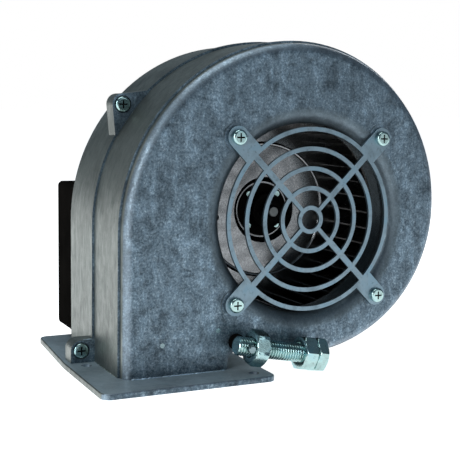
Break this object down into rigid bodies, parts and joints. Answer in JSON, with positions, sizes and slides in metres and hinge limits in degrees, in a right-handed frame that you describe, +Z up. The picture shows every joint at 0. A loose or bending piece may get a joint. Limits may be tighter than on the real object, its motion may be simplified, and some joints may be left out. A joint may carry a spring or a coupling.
{
  "type": "combustion fan",
  "caption": "Cast scroll blower for a boiler with flat ring guard, backward motor, terminal box and counterweighted gravity damper in the outlet duct.",
  "frame": {"origin": "centre of the outlet flange's underside", "axes": "X to the right across the inlet face, Y from the inlet face towards the motor, Z up away from the boiler"},
  "size_m": [0.2052, 0.1685, 0.1752],
  "materials": {
    "cast_aluminium": "as cast, satin",
    "zinc_plated_sheet": "bright zinc plate",
    "zinc_plated_hardware": "bright zinc plate",
    "turned_steel": "turned",
    "bearing_steel": "ground",
    "black_plastic": "moulded, matt",
    "black_rubber": "matt",
    "lamination_steel": "stacked sheet",
    "enamelled_copper": "varnished wire",
    "black_sheet": "satin black",
    "light_plastic": "moulded",
    "terminal_brass": "bright"
  },
  "bodies": {
    "housing": {"front_housing": "cast_aluminium", "rear_housing": "cast_aluminium", "housing_screws": "zinc_plated_hardware", "inlet_guard": "zinc_plated_sheet", "guard_screws": "zinc_plated_hardware", "flap_stop_pins": "turned_steel", "flap_bush_front": "black_plastic", "flap_bush_rear": "black_plastic", "motor_front_shield": "cast_aluminium", "motor_mount_screws": "zinc_plated_hardware", "stator_core": "lamination_steel", "stator_winding": "enamelled_copper", "motor_rear_shield": "cast_aluminium", "motor_through_bolts": "zinc_plated_hardware", "front_bearing_outer": "bearing_steel", "front_bearing_balls": "bearing_steel", "rear_bearing_outer": "bearing_steel", "rear_bearing_balls": "bearing_steel", "wave_washer": "turned_steel", "fan_cover": "black_sheet", "fan_cover_screws": "zinc_plated_hardware", "terminal_box": "black_plastic", "lid_gasket": "black_rubber", "terminal_box_lid": "black_plastic", "lid_screws": "zinc_plated_hardware", "box_screws": "zinc_plated_hardware", "capacitor": "light_plastic", "capacitor_clip": "zinc_plated_sheet", "terminal_block": "light_plastic", "terminal_screws": "terminal_brass", "gland_body": "black_plastic", "gland_locknut": "black_plastic", "gland_nut": "black_plastic", "gland_seal": "black_rubber", "lead_grommet": "black_rubber", "lead_sleeve": "black_rubber"},
    "rotor": {"impeller_blades": "zinc_plated_sheet", "impeller_disc": "zinc_plated_sheet", "impeller_front_ring": "zinc_plated_sheet", "impeller_collar": "turned_steel", "impeller_rivets": "zinc_plated_hardware", "impeller_hub": "black_plastic", "motor_shaft": "turned_steel", "rotor_core": "lamination_steel", "front_bearing_inner": "bearing_steel", "rear_bearing_inner": "bearing_steel", "cooling_fan": "black_plastic", "cooling_fan_clip": "turned_steel"},
    "damper": {"flap_shaft": "turned_steel", "flap_plate": "zinc_plated_sheet", "flap_rivets": "zinc_plated_hardware", "counterweight_bolt": "zinc_plated_hardware", "clamp_nut": "zinc_plated_hardware", "counterweight_nut": "zinc_plated_hardware"}
  },
  "joints": [
    {"name": "rotor_spin", "type": "hinge", "parent": "housing", "child": "rotor", "pos_m": [0.0735, 0, 0.0807], "axis": [0, -1, 0], "continuous": true},
    {"name": "damper_swing", "type": "hinge", "parent": "housing", "child": "damper", "pos_m": [0.0318, 0, 0.0178], "axis": [0, -1, 0], "range_deg": [0, 45]}
  ]
}
